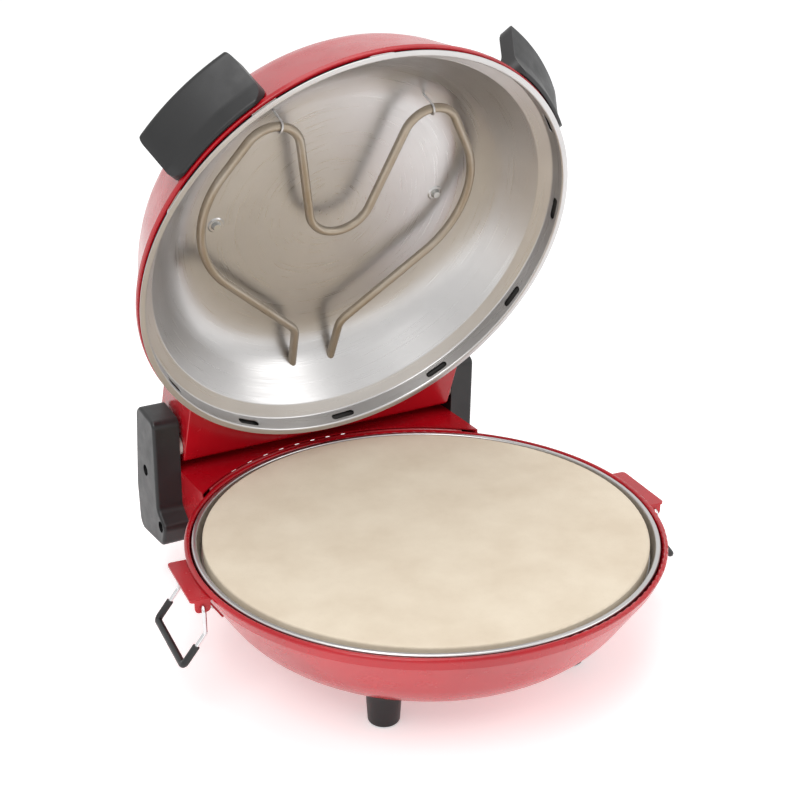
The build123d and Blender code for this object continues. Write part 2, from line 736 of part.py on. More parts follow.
def arm_screws():
    """Screws that fasten both arms to the housing."""
    made = []
    for y, z in ARM_SCREWS:
        seat = BOX_HALF + ARM_WIDE - ARM_RECESS
        end = BOX_HALF - SHEET - SCREW_HEAD
        head = cylinder_along(Plane(origin=(seat, y, z), z_dir=(1, 0, 0)), SCREW_HEAD_R, SCREW_HEAD)
        shank = cylinder_along(Plane(origin=(end, y, z), z_dir=(1, 0, 0)), SCREW_R, seat - end)
        made += mirrored_pair(head + shank)
    return made


# ---- assembly -----------------------------------------------------------
def build_base():
    bowl = base_bowl()
    for x, y in foot_places():
        bowl -= foot_screw(x, y)
    add("base_bowl", bowl)
    liner = base_liner()
    add("base_liner", liner)
    add("lower_element", lower_element())
    add("lower_clips", *lower_clips())
    add("lower_collars", *lower_collars())
    for number, (x, y) in enumerate(foot_places(), 1):
        add(f"foot_{number}", foot(x, y))
    add("foot_screws", *[foot_screw(x, y) for x, y in foot_places()])
    add("base_posts", *[base_post(x, y) for x, y in foot_places()])
    add("hinge_box", hinge_box())
    add("inlet_gland", inlet_gland())
    add("terminal_block", terminal_block())
    for name, arm in zip(("right", "left"), mirrored_pair(hinge_arm())):
        add(f"hinge_arm_{name}", arm)
    add("arm_screws", *arm_screws())
    add("hinge_bushes", *mirrored_pair(hinge_bush()))
    add("pizza_stone", pizza_stone())


def build_bails():
    heads = []
    for name, angle in (("right", BAIL_TURN), ("left", 180 + BAIL_TURN)):
        add(f"bracket_{name}", bracket().rotate(Axis.Z, angle))
        heads += [head.rotate(Axis.Z, angle) for head in rivets()]
        add(f"bail_wire_{name}", bail_wire().rotate(Axis.Z, angle))
        add(f"bail_sleeve_{name}", bail_sleeve().rotate(Axis.Z, angle))
    add("bracket_rivets", *heads)


def build_lid():
    lid = {
        "lid_shell": [lid_shell()],
        "lid_reflector": [lid_reflector()],
        "lid_block": [lid_block()],
        "upper_element": [upper_element()],
        "upper_collars": upper_collars(),
        "element_hook_right": [element_hook()],
        "element_hook_left": [mirror(element_hook(), Plane.YZ)],
        "plate_washers": [plate_washer(x, y) for x, y in plate_places()],
        "plate_screws": [plate_screw(x, y) for x, y in plate_places()],
        "lid_posts": [lid_post(x, y) for x, y in plate_places()],
        "hinge_pins": mirrored_pair(hinge_pin()),
        "lid_handle_right": [lid_handle().rotate(Axis.Z, -HANDLE_ANGLE)],
        "lid_handle_left": [lid_handle().rotate(Axis.Z, HANDLE_ANGLE - 180)],
    }
    for x, y in plate_places():
        lid["lid_reflector"][0] -= plate_screw(x, y)
    for name, shapes in lid.items():
        add(name, *[lid_place(shape) for shape in shapes])


def to_table():
    """Shift that puts the origin on the table, under the middle."""
    boxes = [shape.bounding_box() for shapes in nodes.values() for shape in shapes]
    low = [min(tuple(box.min)[i] for box in boxes) for i in range(3)]
    high = [max(tuple(box.max)[i] for box in boxes) for i in range(3)]
    return (-(low[0] + high[0]) / 2, -(low[1] + high[1]) / 2, -low[2])


def main():
    build_base()
    build_bails()
    build_lid()
    os.makedirs("parts", exist_ok=True)
    shift = Location(to_table())
    for name, shapes in nodes.items():
        moved = [solid.moved(shift) for shape in shapes for solid in shape.solids()]
        whole = moved[0] if len(moved) == 1 else Compound(children=moved)
        export_step(whole, f"parts/{name}.step")


main()
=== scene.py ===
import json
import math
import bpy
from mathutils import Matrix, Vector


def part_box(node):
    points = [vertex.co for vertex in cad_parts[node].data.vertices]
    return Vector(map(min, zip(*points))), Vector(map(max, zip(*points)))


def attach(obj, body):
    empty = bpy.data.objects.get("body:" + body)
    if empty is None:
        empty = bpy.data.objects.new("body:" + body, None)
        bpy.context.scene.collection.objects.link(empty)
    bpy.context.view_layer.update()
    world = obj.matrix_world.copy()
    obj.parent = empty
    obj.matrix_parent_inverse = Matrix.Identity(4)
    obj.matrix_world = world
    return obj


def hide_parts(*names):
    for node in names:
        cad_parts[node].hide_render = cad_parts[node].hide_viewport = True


bl_info = {
    "name": "Pizza maker",
    "version": (1, 0, 0),
    "blender": (4, 5, 0),
    "location": "3D View > Sidebar > Pizza maker",
    "description": "Dresses an open electric pizza maker and lights it on a pale floor",
    "category": "Object",
}

import bmesh
import bpy
from mathutils import Matrix, Vector

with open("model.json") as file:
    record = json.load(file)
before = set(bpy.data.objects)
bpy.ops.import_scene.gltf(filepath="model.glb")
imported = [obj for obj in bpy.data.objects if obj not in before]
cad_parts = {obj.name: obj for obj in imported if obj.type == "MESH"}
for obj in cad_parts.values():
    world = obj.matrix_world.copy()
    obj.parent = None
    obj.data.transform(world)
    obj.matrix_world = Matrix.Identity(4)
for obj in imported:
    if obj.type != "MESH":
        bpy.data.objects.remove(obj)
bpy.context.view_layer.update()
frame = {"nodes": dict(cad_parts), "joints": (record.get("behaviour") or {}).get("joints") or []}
NODES = frame["nodes"]
JOINTS = {joint["name"]: joint for joint in frame["joints"]}


def middle(node):
    low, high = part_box(node)
    return (low + high) / 2


RIM = Vector((middle("base_bowl").x, middle("base_bowl").y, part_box("base_bowl")[1].z))
HINGE = Vector(JOINTS["lid_hinge"]["pos_m"])
OPENING = math.radians(JOINTS["lid_hinge"]["range_deg"][1])
TO_LID = (
    Matrix.Translation(HINGE) @ Matrix.Rotation(OPENING, 4, "X") @ Matrix.Translation(-HINGE)
)


# ---- settings -----------------------------------------------------------
def colour(name, description, default):
    return bpy.props.FloatVectorProperty(
        name=name, description=description, default=default, subtype="COLOR", min=0.0, max=1.0
    )


class PizzaMakerFinish(bpy.types.PropertyGroup):
    enamel: colour("Enamel", "Red of bowl, dome and housing", (0.52, 0.004, 0.012))
    enamel_deep: colour("Deep enamel", "Red where the coat is thickest", (0.34, 0.002, 0.008))
    bright: colour("Bright steel", "Stainless ring and reflector", (0.58, 0.57, 0.565))
    tube: colour("Element tube", "Heating element", (0.40, 0.355, 0.30))
    tube_hot: colour("Heat tint", "Straw tint on the element", (0.33, 0.265, 0.19))
    plastic: colour("Black plastic", "Arms, handles and feet", (0.006, 0.006, 0.0065))
    stone: colour("Fireclay", "Baking stone", (0.80, 0.70, 0.56))
    stone_fleck: colour("Fireclay fleck", "Darker grains in the stone", (0.58, 0.46, 0.33))
    wire: colour("Chromed wire", "Carrying bails", (0.72, 0.72, 0.73))
    zinc: colour("Zinc", "Screws, pins and rivets", (0.60, 0.60, 0.58))
    nylon: colour("Nylon", "Hinge bushes", (0.62, 0.60, 0.55))
    ceramic: colour("Ceramic", "Connector in the housing", (0.78, 0.76, 0.71))


class PizzaMakerStage(bpy.types.PropertyGroup):
    camera_right: bpy.props.FloatProperty(
        name="Camera across", description="Camera to the right of the rim's middle", default=-0.476, unit="LENGTH"
    )
    camera_back: bpy.props.FloatProperty(
        name="Camera away", description="Camera behind the rim's middle", default=-0.8072, unit="LENGTH"
    )
    camera_up: bpy.props.FloatProperty(
        name="Camera height", description="Camera above the rim", default=0.4994, unit="LENGTH"
    )
    heading: bpy.props.FloatProperty(
        name="Heading", description="Turn of the camera about the vertical", default=math.radians(-29.40),
        subtype="ANGLE",
    )
    tilt: bpy.props.FloatProperty(
        name="Tilt", description="How far the camera looks down", default=math.radians(23.20), subtype="ANGLE"
    )
    roll: bpy.props.FloatProperty(
        name="Roll", description="Turn of the camera about its view", default=math.radians(0.24), subtype="ANGLE"
    )
    lens: bpy.props.FloatProperty(name="Lens", description="Focal length in millimetres", default=67.5)
    floor_size: bpy.props.FloatProperty(
        name="Floor", description="Side of the floor", default=12.0, unit="LENGTH"
    )
    lamp_level: bpy.props.FloatProperty(name="Lamps", description="Level of all the lamps", default=1.0)


# ---- node helpers -------------------------------------------------------
def put(tree, kind, inputs=(), **settings):
    """Add a node; an input is given a value or, for a socket, a link."""
    node = tree.nodes.new(kind)
    for key, value in settings.items():
        setattr(node, key, value)
    for name, value in dict(inputs).items():
        if isinstance(value, bpy.types.NodeSocket):
            tree.links.new(value, node.inputs[name])
        else:
            node.inputs[name].default_value = value
    return node


def rgba(value):
    return (*value, 1.0)


def group(name, inputs, outputs):
    """Empty node group with named sockets, and its two end nodes."""
    tree = bpy.data.node_groups.new(name, "ShaderNodeTree")
    for label, kind, default in inputs:
        socket = tree.interface.new_socket(label, in_out="INPUT", socket_type=kind)
        if default is not None:
            socket.default_value = default
    for label, kind in outputs:
        tree.interface.new_socket(label, in_out="OUTPUT", socket_type=kind)
    return tree, put(tree, "NodeGroupInput"), put(tree, "NodeGroupOutput")


FLOAT, COLOUR, VECTOR = "NodeSocketFloat", "NodeSocketColor", "NodeSocketVector"


def soft_variation():
    """Slow change between two values over a surface."""
    tree, given, out = group(
        "soft variation", [("Scale", FLOAT, 20.0), ("Low", FLOAT, 0.0), ("High", FLOAT, 1.0)], [("Value", FLOAT)]
    )
    place = put(tree, "ShaderNodeTexCoord")
    noise = put(
        tree, "ShaderNodeTexNoise",
        {"Vector": place.outputs["Object"], "Scale": given.outputs["Scale"], "Detail": 4.0, "Roughness": 0.55},
    )
    spread = put(
        tree, "ShaderNodeMapRange",
        {"Value": noise.outputs["Fac"], "From Min": 0.3, "From Max": 0.7,
         "To Min": given.outputs["Low"], "To Max": given.outputs["High"]},
    )
    tree.links.new(spread.outputs["Result"], out.inputs["Value"])
    return tree


def fine_grain():
    """Normal of a fine, even grain such as moulded plastic or fired clay."""
    tree, given, out = group(
        "fine grain",
        [("Scale", FLOAT, 900.0), ("Strength", FLOAT, 0.2), ("Depth", FLOAT, 0.0002)],
        [("Normal", VECTOR), ("Height", FLOAT)],
    )
    place = put(tree, "ShaderNodeTexCoord")
    noise = put(
        tree, "ShaderNodeTexNoise",
        {"Vector": place.outputs["Object"], "Scale": given.outputs["Scale"], "Detail": 3.0, "Roughness": 0.6},
    )
    bump = put(
        tree, "ShaderNodeBump",
        {"Height": noise.outputs["Fac"], "Strength": given.outputs["Strength"], "Distance": given.outputs["Depth"]},
    )
    tree.links.new(bump.outputs["Normal"], out.inputs["Normal"])
    tree.links.new(noise.outputs["Fac"], out.inputs["Height"])
    return tree


def turned_grain():
    """Fine rings round an axis, as spinning and polishing leave them."""
    tree, given, out = group(
        "turned grain", [("Place", VECTOR, None), ("Scale", FLOAT, 900.0)], [("Value", FLOAT)]
    )
    parts = put(tree, "ShaderNodeSeparateXYZ", {"Vector": given.outputs["Place"]})
    flat = put(tree, "ShaderNodeCombineXYZ", {"X": parts.outputs["X"], "Y": parts.outputs["Y"]})
    radius = put(tree, "ShaderNodeVectorMath", {0: flat.outputs["Vector"]}, operation="LENGTH")
    angle = put(
        tree, "ShaderNodeMath", {0: parts.outputs["Y"], 1: parts.outputs["X"]}, operation="ARCTAN2"
    )
    slow = put(tree, "ShaderNodeMath", {0: angle.outputs["Value"], 1: 0.0012}, operation="MULTIPLY")
    rings = put(
        tree, "ShaderNodeCombineXYZ",
        {"X": radius.outputs["Value"], "Y": parts.outputs["Z"], "Z": slow.outputs["Value"]},
    )
    noise = put(
        tree, "ShaderNodeTexNoise",
        {"Vector": rings.outputs["Vector"], "Scale": given.outputs["Scale"], "Detail": 3.0},
    )
    tree.links.new(noise.outputs["Fac"], out.inputs["Value"])
    return tree


def worn_edges():
    """Mask that is 1 on sharp outer edges and fades into the faces."""
    tree, given, out = group("worn edges", [("Amount", FLOAT, 1.0)], [("Mask", FLOAT)])
    shape = put(tree, "ShaderNodeNewGeometry")
    edge = put(
        tree, "ShaderNodeMapRange", {"Value": shape.outputs["Pointiness"], "From Min": 0.52, "From Max": 0.62}
    )
    scaled = put(
        tree, "ShaderNodeMath", {0: edge.outputs["Result"], 1: given.outputs["Amount"]}, operation="MULTIPLY"
    )
    tree.links.new(scaled.outputs["Value"], out.inputs["Mask"])
    return tree


EFFECTS = {}


def effect(tree, maker, inputs=()):
    """Place a shared effect; it is built the first time."""
    if maker not in EFFECTS:
        EFFECTS[maker] = maker()
    node = put(tree, "ShaderNodeGroup")
    node.node_tree = EFFECTS[maker]
    for name, value in dict(inputs).items():
        if isinstance(value, bpy.types.NodeSocket):
            tree.links.new(value, node.inputs[name])
        else:
            node.inputs[name].default_value = value
    return node


def new_finish(name, **sockets):
    """Material with a Principled shader and its plain values set."""
    material = bpy.data.materials.new(name)
    material.use_nodes = True
    shader = material.node_tree.nodes["Principled BSDF"]
    for key, value in sockets.items():
        shader.inputs[key.replace("_", " ")].default_value = value
    return material, material.node_tree, shader


def mixed(tree, factor, first, second):
    """Blend of two colours by a mask."""
    node = put(tree, "ShaderNodeMix", data_type="RGBA")
    tree.links.new(factor, node.inputs["Factor"])
    for slot, value in ((6, first), (7, second)):
        if isinstance(value, bpy.types.NodeSocket):
            tree.links.new(value, node.inputs[slot])
        else:
            node.inputs[slot].default_value = rgba(value)
    return node.outputs[2]


# ---- finishes -----------------------------------------------------------
def enamel_finish(look):
    material, tree, shader = new_finish("red enamel", Coat_Weight=0.15, Coat_Roughness=0.08, Specular_IOR_Level=0.4)
    cloud = effect(tree, soft_variation, {"Scale": 9.0})
    tree.links.new(mixed(tree, cloud.outputs["Value"], look.enamel_deep, look.enamel), shader.inputs["Base Color"])
    gloss = effect(tree, soft_variation, {"Scale": 60.0, "Low": 0.2, "High": 0.3})
    tree.links.new(gloss.outputs["Value"], shader.inputs["Roughness"])
    peel = effect(tree, fine_grain, {"Scale": 260.0, "Strength": 0.05, "Depth": 0.0004})
    tree.links.new(peel.outputs["Normal"], shader.inputs["Normal"])
    return material


def bright_finish(look, name, to_axis):
    """Satin stainless sheet, polished round the axis of its piece."""
    material, tree, shader = new_finish(name, Metallic=1.0)
    place = put(tree, "ShaderNodeTexCoord")
    turn = to_axis.to_euler()
    local = put(
        tree, "ShaderNodeMapping",
        {"Vector": place.outputs["Object"], "Location": to_axis.translation, "Rotation": turn},
    )
    rings = effect(tree, turned_grain, {"Place": local.outputs["Vector"], "Scale": 1500.0})
    cloud = effect(tree, soft_variation, {"Scale": 12.0})
    darker = tuple(0.86 * part for part in look.bright)
    tree.links.new(mixed(tree, cloud.outputs["Value"], darker, look.bright), shader.inputs["Base Color"])
    rough = put(
        tree, "ShaderNodeMapRange",
        {"Value": rings.outputs["Value"], "From Min": 0.3, "From Max": 0.7, "To Min": 0.26, "To Max": 0.4},
    )
    tree.links.new(rough.outputs["Result"], shader.inputs["Roughness"])
    bump = put(
        tree, "ShaderNodeBump", {"Height": rings.outputs["Value"], "Strength": 0.12, "Distance": 0.0002}
    )
    tree.links.new(bump.outputs["Normal"], shader.inputs["Normal"])
    return material


def tube_finish(look):
    material, tree, shader = new_finish("element tube", Metallic=0.85)
    tint = effect(tree, soft_variation, {"Scale": 22.0})
    tree.links.new(mixed(tree, tint.outputs["Value"], look.tube, look.tube_hot), shader.inputs["Base Color"])
    rough = effect(tree, soft_variation, {"Scale": 140.0, "Low": 0.32, "High": 0.5})
    tree.links.new(rough.outputs["Value"], shader.inputs["Roughness"])
    skin = effect(tree, fine_grain, {"Scale": 1400.0, "Strength": 0.15, "Depth": 0.0001})
    tree.links.new(skin.outputs["Normal"], shader.inputs["Normal"])
    return material


def plastic_finish(look):
    material, tree, shader = new_finish("black plastic", Specular_IOR_Level=0.5)
    edges = effect(tree, worn_edges, {"Amount": 0.35})
    paler = tuple(min(1.0, part + 0.03) for part in look.plastic)
    tree.links.new(mixed(tree, edges.outputs["Mask"], look.plastic, paler), shader.inputs["Base Color"])
    rough = effect(tree, soft_variation, {"Scale": 70.0, "Low": 0.36, "High": 0.5})
    tree.links.new(rough.outputs["Value"], shader.inputs["Roughness"])
    grain = effect(tree, fine_grain, {"Scale": 1100.0, "Strength": 0.25, "Depth": 0.00015})
    tree.links.new(grain.outputs["Normal"], shader.inputs["Normal"])
    return material


def stone_finish(look):
    material, tree, shader = new_finish("fireclay", Specular_IOR_Level=0.25)
    place = put(tree, "ShaderNodeTexCoord")
    flecks = put(
        tree, "ShaderNodeTexVoronoi", {"Vector": place.outputs["Object"], "Scale": 420.0}
    )
    spots = put(
        tree, "ShaderNodeMapRange", {"Value": flecks.outputs["Distance"], "From Min": 0.12, "From Max": 0.0}
    )
    body = effect(tree, soft_variation, {"Scale": 30.0, "Low": 0.0, "High": 0.35})
    warm = mixed(tree, body.outputs["Value"], look.stone, look.stone_fleck)
    tree.links.new(mixed(tree, spots.outputs["Result"], warm, look.stone_fleck), shader.inputs["Base Color"])
    rough = effect(tree, soft_variation, {"Scale": 90.0, "Low": 0.78, "High": 0.95})
    tree.links.new(rough.outputs["Value"], shader.inputs["Roughness"])
    pits = effect(tree, fine_grain, {"Scale": 700.0, "Strength": 0.4, "Depth": 0.0003})
    tree.links.new(pits.outputs["Normal"], shader.inputs["Normal"])
    return material


def plated_finish(name, base, rough_low, rough_high):
    """Plated wire or screw with faint scratches."""
    material, tree, shader = new_finish(name, Metallic=1.0)
    dull = tuple(0.8 * part for part in base)
    cloud = effect(tree, soft_variation, {"Scale": 80.0})
    tree.links.new(mixed(tree, cloud.outputs["Value"], dull, base), shader.inputs["Base Color"])
    rough = effect(tree, soft_variation, {"Scale": 300.0, "Low": rough_low, "High": rough_high})
    tree.links.new(rough.outputs["Value"], shader.inputs["Roughness"])
    marks = effect(tree, fine_grain, {"Scale": 2200.0, "Strength": 0.08, "Depth": 0.0001})
    tree.links.new(marks.outputs["Normal"], shader.inputs["Normal"])
    return material


def dull_finish(name, base, rough_low, rough_high):
    """Nylon, ceramic or the near-black painted shade inside the dome: dull and slightly uneven."""
    material, tree, shader = new_finish(name)
    cloud = effect(tree, soft_variation, {"Scale": 60.0})
    deeper = tuple(0.88 * part for part in base)
    tree.links.new(mixed(tree, cloud.outputs["Value"], deeper, base), shader.inputs["Base Color"])
    rough = effect(tree, soft_variation, {"Scale": 120.0, "Low": rough_low, "High": rough_high})
    tree.links.new(rough.outputs["Value"], shader.inputs["Roughness"])
    grain = effect(tree, fine_grain, {"Scale": 900.0, "Strength": 0.1, "Depth": 0.0001})
    tree.links.new(grain.outputs["Normal"], shader.inputs["Normal"])
    return material


def dress(names, material):
    for name in names:
        mesh = NODES[name].data
        mesh.materials.clear()
        mesh.materials.append(material)


# ---- sheets of the lid --------------------------------------------------
MM = 0.001
LID_SEAT = 0.5 * MM  # lid edge over the rim when shut
LID_AXIS = RIM + Vector((0, 0, LID_SEAT))
SPIN_STEPS = 240
ARC_STEPS = 7

# radius and height over the lid's edge, and the radius of each corner, in millimetres
DOME = ((0, 85, 0), (136, 85, 55), (165.6, 8.4, 1.6), (167.0, 7.2, 0.8), (167.0, 4.2, 0.6), (165.6, 4.0, 0))
REFLECTOR = (
    (0, 60, 0), (122, 60, 48), (152.2, 17.6, 2.4), (161.6, 12.4, 2.0), (162.6, 0.3, 1.4), (166.9, 0.3, 0),
)
DOME_SHEET = 1.0
DOME_INNER_POINT = 30.0  # height of a point that every inner face of the dome looks towards
# near-black of the dome's inner faces: painted shade for the dark inside of the lid that the slots show
DOME_INSIDE_SHADE = (0.02, 0.018, 0.016)
REFLECTOR_SHEET = 0.6
SLOT_COUNT = 12
SLOT_START = -5.0
SLOT_LONG = 19.0
SLOT_WIDE = 5.2
SLOT_HEIGHT = 5.9  # middle of the slots over the lid's edge
SLOT_REACH = (158.0, 165.5)  # radii between which the slots are cut
LIP_R = 170.3  # lip of the housing's deck, behind the rim
LIP_HEIGHTS = (-9.0, 0.0)
LIP_HALF_TURN = 40.0
LIP_STEPS = 48
LIP_SHEET = 0.8


def rounded(corners):
    """Outline through corners, each with its own radius, as a list of points."""
    points = []
    for i, (x, y, radius) in enumerate(corners):
        here = Vector((x, y))
        if radius == 0:
            points.append(here)
            continue
        back = (Vector(corners[i - 1][:2]) - here).normalized()
        ahead = (Vector(corners[i + 1][:2]) - here).normalized()
        half = back.angle(ahead) / 2
        centre = here + (back + ahead).normalized() * radius / math.sin(half)
        start = here + back * radius / math.tan(half) - centre
        end = here + ahead * radius / math.tan(half) - centre
        for step in range(ARC_STEPS + 1):
            points.append(centre + start.normalized().slerp(end.normalized(), step / ARC_STEPS) * radius)
    return points


def lid_sheet(name, corners, thickness):
    """Sheet turned round the lid's axis, drawn about the shut lid's axis; into_open_lid later moves it to the open
    lid's place.
    """
    shape = bmesh.new()
    for point in rounded(corners):
        shape.verts.new((point.x * MM, 0, point.y * MM))
    shape.verts.ensure_lookup_table()
    for first, second in zip(shape.verts[:-1], shape.verts[1:]):
        shape.edges.new((first, second))
    bmesh.ops.spin(
        shape, geom=shape.verts[:] + shape.edges[:], axis=(0, 0, 1), cent=(0, 0, 0), angle=math.tau,
        steps=SPIN_STEPS, use_merge=True,
    )
    bmesh.ops.remove_doubles(shape, verts=shape.verts, dist=0.01 * MM)
    bmesh.ops.recalc_face_normals(shape, faces=shape.faces)
    obj = piece(name, shape)
    solid = obj.modifiers.new("sheet", "SOLIDIFY")
    solid.thickness = thickness * MM
    solid.offset = 0
    return obj


def piece(name, shape):
    """Object from a bmesh drawn about the shut lid's axis."""
    mesh = bpy.data.meshes.new(name)
    shape.to_mesh(mesh)
    shape.free()
    for face in mesh.polygons:
        face.use_smooth = True
    obj = bpy.data.objects.new(name, mesh)
    bpy.context.scene.collection.objects.link(obj)
    return obj


def slot_cutter():
    """Round-ended bars that cut the slots through the reflector's rim."""
    shape = bmesh.new()
    half = (SLOT_LONG - SLOT_WIDE) / 2
    for i in range(SLOT_COUNT):
        turn = Matrix.Rotation(math.radians(SLOT_START + i * 360 / SLOT_COUNT), 4, "Z")
        ring = []
        for side, first in ((1, -90), (-1, 90)):
            for step in range(ARC_STEPS + 2):
                angle = math.radians(first + 180 * step / (ARC_STEPS + 1))
                across = side * half + SLOT_WIDE / 2 * math.cos(angle)
                ring.append((across, SLOT_HEIGHT + SLOT_WIDE / 2 * math.sin(angle)))
        near, far = [
            [shape.verts.new(turn @ Vector((reach * MM, u * MM, h * MM))) for u, h in ring] for reach in SLOT_REACH
        ]
        shape.faces.new(near)
        shape.faces.new(list(reversed(far)))
        for k in range(len(ring)):
            after = (k + 1) % len(ring)
            shape.faces.new((near[after], near[k], far[k], far[after]))
    bmesh.ops.recalc_face_normals(shape, faces=shape.faces)
    return piece("slot_cutter", shape)


def deck_lip():
    """Upright strip in the gap between the housing's deck and the rim."""
    shape = bmesh.new()
    columns = []
    for step in range(LIP_STEPS + 1):
        angle = math.radians(90 - LIP_HALF_TURN + 2 * LIP_HALF_TURN * step / LIP_STEPS)
        x, y = LIP_R * math.cos(angle), LIP_R * math.sin(angle)
        columns.append([shape.verts.new((x * MM, y * MM, h * MM)) for h in LIP_HEIGHTS])
    for first, second in zip(columns[:-1], columns[1:]):
        shape.faces.new((first[0], second[0], second[1], first[1]))
    bmesh.ops.recalc_face_normals(shape, faces=shape.faces)
    obj = piece("deck_lip", shape)
    solid = obj.modifiers.new("sheet", "SOLIDIFY")
    solid.thickness = LIP_SHEET * MM
    solid.offset = 0
    return obj


def baked(obj):
    """Replace an object's mesh by the one its modifiers make."""
    graph = bpy.context.evaluated_depsgraph_get()
    mesh = bpy.data.meshes.new_from_object(obj.evaluated_get(graph))
    obj.modifiers.clear()
    obj.data = mesh


def into_open_lid(obj):
    obj.data.transform(TO_LID.inverted() @ Matrix.Translation(LID_AXIS))
    obj.data.set_sharp_from_angle(angle=math.radians(40))


# ---- operators ----------------------------------------------------------
class PIZZAMAKER_OT_enamel(bpy.types.Operator):
    """Red enamel on bowl, dome, housing, cover and brackets"""

    bl_idname = "pizza_maker.enamel"
    bl_label = "Enamelled shells"

    def execute(self, context):
        material = enamel_finish(context.scene.pizza_maker_finish)
        dress(("base_bowl", "hinge_box", "bracket_right", "bracket_left", "lid_shell", "lid_block"), material)
        return {"FINISHED"}


class PIZZAMAKER_OT_bright(bpy.types.Operator):
    """Satin stainless on the reflector, the liner and the small bright pieces"""

    bl_idname = "pizza_maker.bright"
    bl_label = "Stainless pieces"

    def execute(self, context):
        look = context.scene.pizza_maker_finish
        to_rim = Matrix.Translation(-RIM)
        dress(("base_liner", "lower_clips"), bright_finish(look, "bright liner", to_rim))
        shut = bright_finish(look, "bright reflector", to_rim @ TO_LID)
        dress(("lid_reflector", "plate_washers", "element_hook_right", "element_hook_left"), shut)
        return {"FINISHED"}


class PIZZAMAKER_OT_elements(bpy.types.Operator):
    """Heat-tinted tube of both heating elements"""

    bl_idname = "pizza_maker.elements"
    bl_label = "Heating elements"

    def execute(self, context):
        material = tube_finish(context.scene.pizza_maker_finish)
        dress(("upper_element", "lower_element", "upper_collars", "lower_collars"), material)
        return {"FINISHED"}


class PIZZAMAKER_OT_plastic(bpy.types.Operator):
    """Black mouldings: arms, handles, feet and cord bush, and the sleeves"""

    bl_idname = "pizza_maker.plastic"
    bl_label = "Black mouldings"

    def execute(self, context):
        material = plastic_finish(context.scene.pizza_maker_finish)
        names = ["hinge_arm_right", "hinge_arm_left", "lid_handle_right", "lid_handle_left", "inlet_gland"]
        names += ["bail_sleeve_right", "bail_sleeve_left"]
        names += [f"foot_{number}" for number in range(1, 5)]
        dress(names, material)
        return {"FINISHED"}


class PIZZAMAKER_OT_stone(bpy.types.Operator):
    """Fireclay of the baking stone"""

    bl_idname = "pizza_maker.stone"
    bl_label = "Baking stone"

    def execute(self, context):
        dress(("pizza_stone",), stone_finish(context.scene.pizza_maker_finish))
        return {"FINISHED"}


class PIZZAMAKER_OT_hardware(bpy.types.Operator):
    """Wire bails, screws, pins, rivets, bushes and connector"""

    bl_idname = "pizza_maker.hardware"
    bl_label = "Small hardware"

    def execute(self, context):
        look = context.scene.pizza_maker_finish
        dress(("bail_wire_right", "bail_wire_left"), plated_finish("chromed wire", look.wire, 0.1, 0.2))
        zinc = plated_finish("zinc plate", look.zinc, 0.25, 0.42)
        dress(
            ("foot_screws", "arm_screws", "plate_screws", "hinge_pins", "bracket_rivets", "base_posts", "lid_posts"),
            zinc,
        )
        dress(("hinge_bushes",), dull_finish("nylon", look.nylon, 0.4, 0.55))
        dress(("terminal_block",), dull_finish("ceramic", look.ceramic, 0.2, 0.35))
        return {"FINISHED"}


def area_lamp(name, place, aim, size, level, tint=(1.0, 1.0, 1.0)):
    """Soft lamp that faces a point."""
    data = bpy.data.lights.new(name, "AREA")
    data.shape = "RECTANGLE"
    data.size, data.size_y = size
    data.energy = level
    data.color = tint
    lamp = bpy.data.objects.new(name, data)
    lamp.location = place
    lamp.rotation_euler = (Vector(aim) - Vector(place)).to_track_quat("-Z", "Y").to_euler()
    bpy.context.scene.collection.objects.link(lamp)
    return lamp


def seen_directly(tree):
    """1 for camera, mirror and glass rays, 0 for the light that falls on things."""
    path = put(tree, "ShaderNodeLightPath")
    first = put(
        tree, "ShaderNodeMath",
        {0: path.outputs["Is Camera Ray"], 1: path.outputs["Is Glossy Ray"]}, operation="MAXIMUM",
    )
    return put(
        tree, "ShaderNodeMath", {0: first.outputs["Value"], 1: path.outputs["Is Transmission Ray"]},
        operation="MAXIMUM",
    ).outputs["Value"]


FLOOR_GLOW = 0.42  # keeps the far floor as pale as the floor under the lamps


def white_world():
    world = bpy.data.worlds.new("studio")
    bpy.context.scene.world = world
    world.use_nodes = True
    tree = world.node_tree
    tree.nodes.clear()
    white = put(tree, "ShaderNodeBackground", {"Color": (1, 1, 1, 1), "Strength": 1.0})
    fill = put(tree, "ShaderNodeBackground", {"Color": (1, 1, 1, 1), "Strength": 0.55})
    blend = put(
        tree, "ShaderNodeMixShader",
        {0: seen_directly(tree), 1: fill.outputs["Background"], 2: white.outputs["Background"]},
    )
    put(tree, "ShaderNodeOutputWorld", {"Surface": blend.outputs["Shader"]})


def floor(size):
    """Pale floor just under the feet."""
    mesh = bpy.data.meshes.new("floor")
    shape = bmesh.new()
    bmesh.ops.create_grid(shape, x_segments=8, y_segments=8, size=size / 2)
    shape.to_mesh(mesh)
    shape.free()
    obj = bpy.data.objects.new("floor", mesh)
    obj.location = (0, 0, -0.0002)
    bpy.context.scene.collection.objects.link(obj)
    material, tree, shader = new_finish(
        "pale floor", Roughness=0.7, Specular_IOR_Level=0.15, Emission_Strength=FLOOR_GLOW,
        Emission_Color=(1, 1, 1, 1),
    )
    tone = effect(tree, soft_variation, {"Scale": 2.0})
    tree.links.new(
        mixed(tree, tone.outputs["Value"], (0.955, 0.955, 0.955), (0.975, 0.975, 0.975)),
        shader.inputs["Base Color"],
    )
    mesh.materials.append(material)


